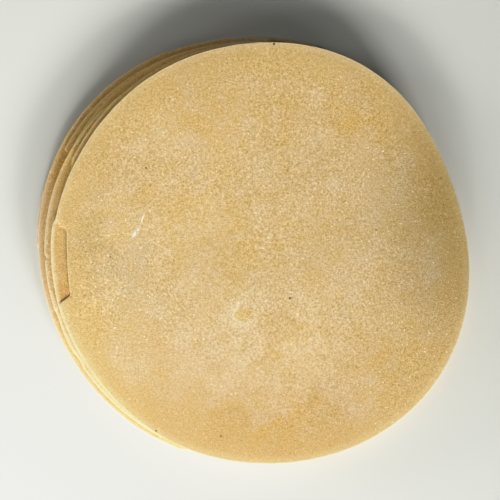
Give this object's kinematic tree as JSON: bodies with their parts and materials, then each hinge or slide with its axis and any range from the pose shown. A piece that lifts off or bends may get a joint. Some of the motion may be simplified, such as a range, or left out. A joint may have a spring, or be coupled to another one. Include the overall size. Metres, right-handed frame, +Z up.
{
  "type": "stack of papadums",
  "caption": "Loose stack of raw papadums: thin dried dough rounds lying on each other, the lower rims showing as ledges at one side, a strip broken off the top rim.",
  "frame": {"origin": "on the surface that the stack rests on, below the middle of its bounding box", "axes": "+Z up; the rims of the lower papadums show towards -X and +Y, and the broken edge of the top one faces -X"},
  "size_m": [0.177, 0.1764, 0.0093],
  "materials": {
    "dried_dough": "matt, fine-grained dried lentil dough, golden beige with cloudy paler patches"
  },
  "bodies": {
    "root": {"papadum_1": "dried_dough", "papadum_2": "dried_dough", "papadum_3": "dried_dough", "papadum_4": "dried_dough", "papadum_5": "dried_dough", "papadum_6": "dried_dough", "papadum_7": "dried_dough", "papadum_8": "dried_dough"}
  },
  "joints": []
}
